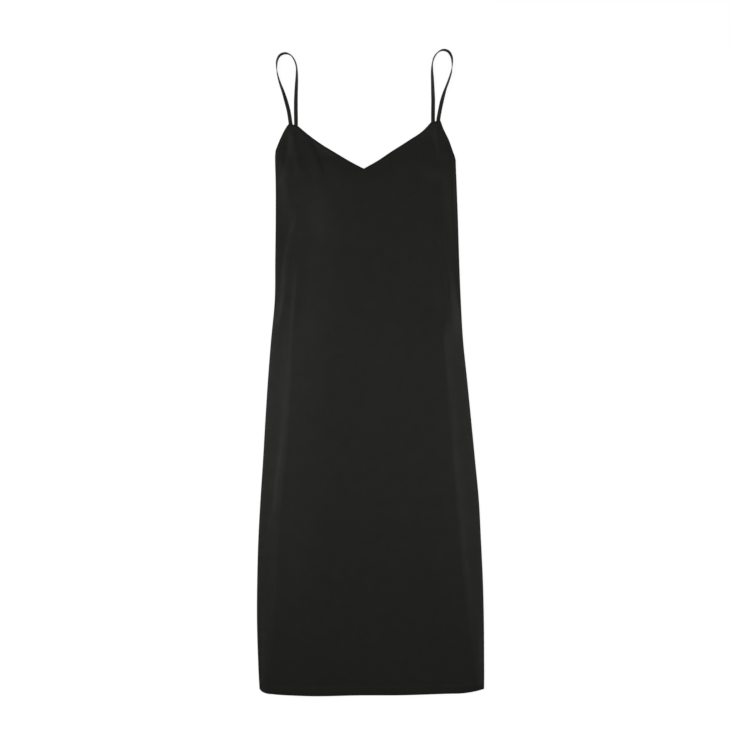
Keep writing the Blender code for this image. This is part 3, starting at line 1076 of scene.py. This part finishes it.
def make_strap(node, material):
    """A shoulder strap: a flat ribbon swept along its route, turning over once on its way round."""
    centres, turn = strap_stations(STRAPS[node])
    tangent = np.gradient(centres, axis=0)
    tangent /= np.linalg.norm(tangent, axis=-1, keepdims=True)
    level = np.cross(tangent, (0, 0, 1))
    level /= np.linalg.norm(level, axis=-1, keepdims=True)
    upright = np.cross(level, tangent)
    cosine, sine = np.cos(turn)[:, None], np.sin(turn)[:, None]
    wide = level * cosine - upright * sine
    thick = level * sine + upright * cosine
    return sweep("shoulder_" + node, centres, wide, thick, ribbon_profile(), material)


def hem_stitches(name, outer, side, material):
    """The hem's blind stitches: pricks of thread where its turning ends, on the side given by +1 or -1."""
    middle = outer[:, outer.shape[1] // 2, 1]
    line = outer[int(np.searchsorted(middle - middle[0], HEM_TURNING.width))]
    reached = np.concatenate([[0], np.cumsum(np.linalg.norm(np.diff(line, axis=0), axis=-1))])
    at = np.arange(HEM_STITCH_PITCH, reached[-1] - HEM_STITCH_PITCH / 2, HEM_STITCH_PITCH)
    places = np.stack([np.interp(at, reached, line[:, axis]) for axis in range(3)], axis=-1)
    ahead = np.stack([np.interp(at + LOOK_AHEAD, reached, line[:, axis]) for axis in range(3)], axis=-1)
    directions = ahead - places
    places[:, 2] = np.maximum(places[:, 2] + side * HEM_THREAD * HEM_STITCH_SHOWS, HEM_THREAD)
    return stitches(name, places, directions, HEM_STITCH_LENGTH, HEM_THREAD, material)


def seam_line(side, inset, step):
    """Places along a side seam at an inset from the edge, midway between the rims, `step` apart."""
    low = smooth(across(LEFT_PIT if side == "left" else RIGHT_PIT, HEM_LEVEL), HEM, "up")
    up = np.arange(low + step, SIDES[-1].up - 2 * step, step)
    edge = smooth(up, SIDES, side)
    x = edge + inset if side == "left" else edge - inset
    return np.stack([x, up, np.full(len(up), EDGE_THICKNESS / 2)], axis=-1)


def seam_stitches(side, material):
    """The stitches that lie in the groove of a side seam."""
    places = seam_line(side, SEAM_RECESS, SEAM_STITCH_PITCH)
    directions = np.gradient(places, axis=0)
    return stitches("seam_stitches_" + side, places, directions, SEAM_STITCH_LENGTH, SEAM_THREAD, material)


def seam_allowance(side, material):
    """The seam's turnings, pressed together inside the dress and closing the gap between the rims."""
    centres = seam_line(side, ALLOWANCE_INSET + ALLOWANCE_WIDTH / 2, ALLOWANCE_STATION)
    level = np.zeros_like(centres)
    level[:, 0] = 1
    upright = np.zeros_like(centres)
    upright[:, 2] = 1
    half, thick = ALLOWANCE_WIDTH / 2, ALLOWANCE_THICKNESS / 2
    blunt = thick * ALLOWANCE_BLUNT
    profile = [
        (half, -blunt), (half, blunt), (half - blunt, thick), (blunt - half, thick),
        (-half, blunt), (-half, -blunt), (blunt - half, -thick), (half - blunt, -thick),
    ]
    return sweep("seam_allowance_" + side, centres, level, upright, profile, material)


# --------------------------------------------------------------------------------------------------
# Floor, light and camera
# --------------------------------------------------------------------------------------------------

# The floor: its width, its grey, its own glow, and how far it lies under the dress.
FLOOR_WIDTH = 60000
FLOOR_GREY = 0.15
FLOOR_GLOW = 0.93
FLOOR_DROP = 0.2

# A softbox to each side of the dress, as high as it is far out: where it hangs and its size, in millimetres,
# and its power in watts.
Softbox = namedtuple("Softbox", "name x up height wide tall power")
SOFTBOXES = [
    Softbox("left_softbox", -1300, 110, 1300, 600, 1300, 17.0),
    Softbox("right_softbox", 1300, -110, 1300, 600, 1300, 12.4),
]

# The surroundings, by height as a share of straight up: the floor's white at the horizon, grey walls and a
# dark ceiling.
Shade = namedtuple("Shade", "height light")
SURROUNDINGS = [Shade(0.05, 0.93), Shade(0.09, 0.15), Shade(0.22, 0.15), Shade(0.75, 0.015)]


def make_floor():
    """A plain floor, white in the picture through its own glow."""
    bpy.ops.mesh.primitive_plane_add(size=FLOOR_WIDTH * MM)
    floor = bpy.context.object
    floor.name = "floor"
    material, _, shader = new_material("floor_white")
    shader.inputs["Base Color"].default_value = (FLOOR_GREY, FLOOR_GREY, FLOOR_GREY, 1)
    shader.inputs["Roughness"].default_value = 1.0
    shader.inputs["Specular IOR Level"].default_value = 0.0
    shader.inputs["Emission Color"].default_value = (1, 1, 1, 1)
    shader.inputs["Emission Strength"].default_value = FLOOR_GLOW
    floor.data.materials.append(material)
    floor.location.z = -FLOOR_DROP * MM


def make_lights():
    """The two softboxes, each facing the dress."""
    for box in SOFTBOXES:
        light = bpy.data.lights.new(box.name, "AREA")
        light.shape = "RECTANGLE"
        light.size = box.wide * MM
        light.size_y = box.tall * MM
        light.energy = box.power
        holder = bpy.data.objects.new(box.name, light)
        holder.location = Vector((box.x, box.up, box.height)) * MM
        holder.rotation_euler = holder.location.to_track_quat("Z", "Y").to_euler()
        holder.visible_camera = False
        bpy.context.scene.collection.objects.link(holder)


def make_surroundings():
    """A white horizon and grey walls under a dark ceiling, as in a studio with the lights at its sides."""
    world = bpy.data.worlds.new("studio")
    world.use_nodes = True
    tree = world.node_tree
    direction = tree.nodes.new("ShaderNodeTexCoord").outputs["Generated"]
    height = tree.nodes.new("ShaderNodeSeparateXYZ")
    tree.links.new(direction, height.inputs["Vector"])
    ramp = tree.nodes.new("ShaderNodeValToRGB")
    ramp.color_ramp.interpolation = "EASE"
    elements = ramp.color_ramp.elements
    for index, shade in enumerate(SURROUNDINGS):
        element = elements[index] if index < len(elements) else elements.new(shade.height)
        element.position = shade.height
        element.color = (shade.light, shade.light, shade.light, 1)
    tree.links.new(height.outputs["Z"], ramp.inputs["Fac"])
    tree.links.new(ramp.outputs["Color"], tree.nodes["Background"].inputs["Color"])
    bpy.context.scene.world = world


def make_camera():
    """A camera straight above the dress, far enough for the photograph's flat view."""
    camera = bpy.data.cameras.new("camera")
    holder = bpy.data.objects.new("camera", camera)
    bpy.context.scene.collection.objects.link(holder)
    camera.sensor_width = SENSOR
    camera.lens = SENSOR * CAMERA_HEIGHT / (max(FRAME_PIXELS) * MM_PER_PIXEL)
    camera.clip_start = NEAREST_SEEN * MM
    camera.clip_end = FLOOR_WIDTH * MM
    holder.location = (FRAME_CENTRE[0] * MM, FRAME_CENTRE[1] * MM, CAMERA_HEIGHT * MM)
    bpy.context.scene.camera = holder


def make_stage():
    """Floor, lights, surroundings and camera, shown as the plain sRGB values that they have."""
    make_floor()
    make_lights()
    make_surroundings()
    make_camera()
    bpy.context.scene.view_settings.view_transform = "Standard"
    bpy.context.scene.view_settings.look = "None"


# --------------------------------------------------------------------------------------------------
# The dress
# --------------------------------------------------------------------------------------------------

# What each panel was cut to, flat, in metres: its widest and longest, and its area in square metres. The
# longest counts the hem's turning, and the others count no turning.
Cut = namedtuple("Cut", "width length area")


def place(piece, slot, *nodes):
    """A piece of the dress: it rides on the body and may stand for nodes of the frame. Its slot is not used.
    """
    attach(piece, BODY)
    if nodes:
        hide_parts(*nodes)
    return piece


def make_dress():
    """All the pieces of the dress, each on the body."""
    crepe = cloth_material("black_crepe", CREPE)
    # The straps take the lit copy of the crepe, whose lighter colour is painted light.
    lit_strap_crepe = cloth_material("black_strap_crepe_lit", LIT_STRAP_CREPE)
    thread = cloth_material("black_thread", THREAD)
    front, front_grid = make_front(crepe)
    back, back_grid = make_back(crepe)
    place(front, "crepe", "front_panel")
    place(back, "crepe", "back_panel")
    straps = [place(make_strap(node, lit_strap_crepe), "strap", node) for node in STRAPS]
    on_front = [place(hem_stitches("hem_stitches_front", front_grid, 1, thread), "crepe")]
    on_back = [place(hem_stitches("hem_stitches_back", back_grid, -1, thread), "crepe")]
    for side in ("left", "right"):
        on_back.append(place(seam_stitches(side, thread), "crepe"))
        on_back.append(place(seam_allowance(side, crepe), "crepe"))


make_stage()
make_dress()
